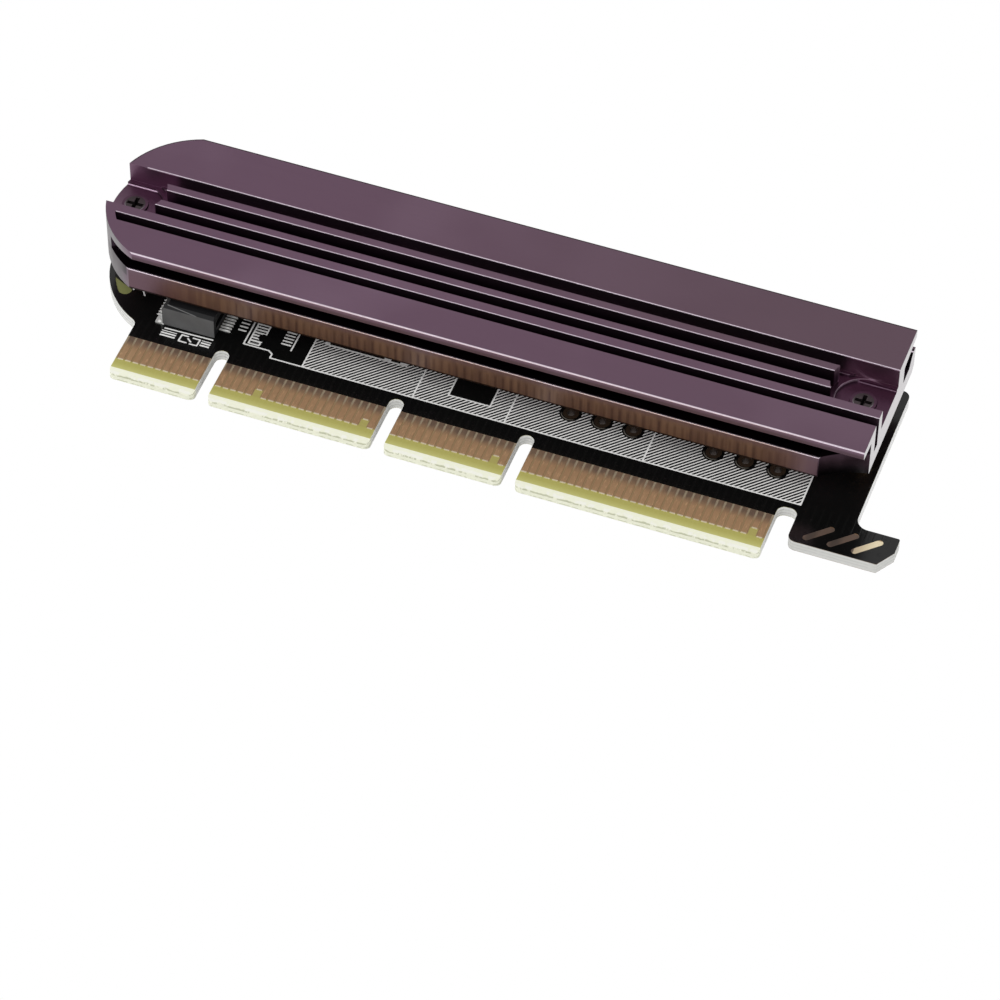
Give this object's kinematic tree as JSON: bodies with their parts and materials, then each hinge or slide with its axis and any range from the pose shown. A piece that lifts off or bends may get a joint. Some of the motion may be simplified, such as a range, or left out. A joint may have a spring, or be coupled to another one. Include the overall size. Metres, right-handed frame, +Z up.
{
  "type": "nvme adapter card",
  "caption": "Narrow expansion card with a full-length edge connector, a solid-state drive socket and a purple anodised heat sink on two posts.",
  "frame": {"origin": "contact 1 of the card edge, on the front edge of the board at its underside", "axes": "+X along the contacts to the hook, +Y from the front edge to the back of the card, +Z up through the board to the heat sink"},
  "size_m": [0.1069, 0.0315, 0.013],
  "materials": {
    "solder_mask": "semi-gloss black board coating",
    "gold_plate": "thin gold plating",
    "purple_anodised": "satin purple anodised",
    "brass_posts": "turned brass",
    "black_screws": "black zinc",
    "black_plastic": "moulded black",
    "contact_metal": "gold flash on spring strip",
    "tinned_metal": "tinned",
    "capacitor_ceramic": "fired ceramic",
    "resistor_glaze": "black glaze",
    "capacitor_resin": "moulded ochre resin"
  },
  "bodies": {
    "root": {"pcb": "solder_mask", "edge_contacts_top": "gold_plate", "edge_contacts_bottom": "gold_plate", "drive_hole_linings": "gold_plate", "side_hole_linings": "gold_plate", "hook_bars": "gold_plate", "heatsink": "purple_anodised", "heatsink_posts": "brass_posts", "heatsink_screws": "black_screws", "socket_housing": "black_plastic", "socket_upper_contacts": "contact_metal", "socket_lower_contacts": "contact_metal", "socket_hold_downs": "tinned_metal", "capacitor_bodies": "capacitor_ceramic", "capacitor_ends": "tinned_metal", "resistor_bodies": "resistor_glaze", "resistor_ends": "tinned_metal", "bulk_capacitor_body": "capacitor_resin", "bulk_capacitor_legs": "tinned_metal"}
  },
  "joints": []
}
